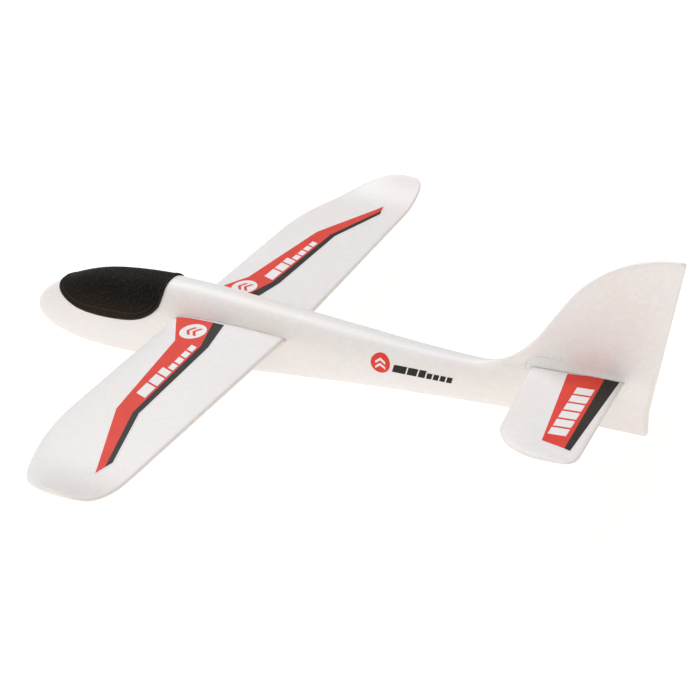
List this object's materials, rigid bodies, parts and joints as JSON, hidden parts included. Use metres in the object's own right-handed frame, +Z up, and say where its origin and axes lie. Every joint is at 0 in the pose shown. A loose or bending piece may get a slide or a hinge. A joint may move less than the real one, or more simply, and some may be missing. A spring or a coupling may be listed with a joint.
{
  "type": "foam hand-launch glider",
  "caption": "Moulded white foam hand-launch glider with a black canopy, plug-in wing panels with upturned tips, a slide-in tailplane, a swept fin and red sticker bands.",
  "frame": {"origin": "under the middle of the glider's length and span, level with the flat landing strip on the belly", "axes": "nose towards -Y, port (left) wing towards +X, +Z up"},
  "size_m": [0.4388, 0.48, 0.1389],
  "materials": {
    "white_foam": "satin moulded bead foam",
    "black_foam": "matte speckled moulded foam",
    "steel": "cut bar",
    "glass_fibre": "pultruded rod",
    "sleeve_plastic": "extruded tube",
    "printed_film": "printed vinyl film"
  },
  "bodies": {
    "fuselage": {"fuselage": "white_foam", "nose_weight": "steel", "side_sticker_left": "printed_film", "side_sticker_right": "printed_film"},
    "canopy": {"canopy": "black_foam"},
    "wing_left": {"wing_left": "white_foam", "joiner_sleeve_left": "sleeve_plastic", "wing_sticker_left": "printed_film"},
    "wing_right": {"wing_right": "white_foam", "joiner_sleeve_right": "sleeve_plastic", "wing_joiner": "glass_fibre", "wing_sticker_right": "printed_film"},
    "tailplane": {"tailplane": "white_foam", "tail_sticker_left": "printed_film", "tail_sticker_right": "printed_film"}
  },
  "joints": [
    {"name": "canopy_lift", "type": "slide", "parent": "fuselage", "child": "canopy", "axis": [0, 0, 1], "range_m": [0, 0.05]},
    {"name": "wing_left_pull", "type": "slide", "parent": "fuselage", "child": "wing_left", "axis": [1, 0, 0], "range_m": [0, 0.07]},
    {"name": "wing_right_pull", "type": "slide", "parent": "fuselage", "child": "wing_right", "axis": [-1, 0, 0], "range_m": [0, 0.07]},
    {"name": "tailplane_pull", "type": "slide", "parent": "fuselage", "child": "tailplane", "axis": [1, 0, 0], "range_m": [0, 0.11]}
  ]
}
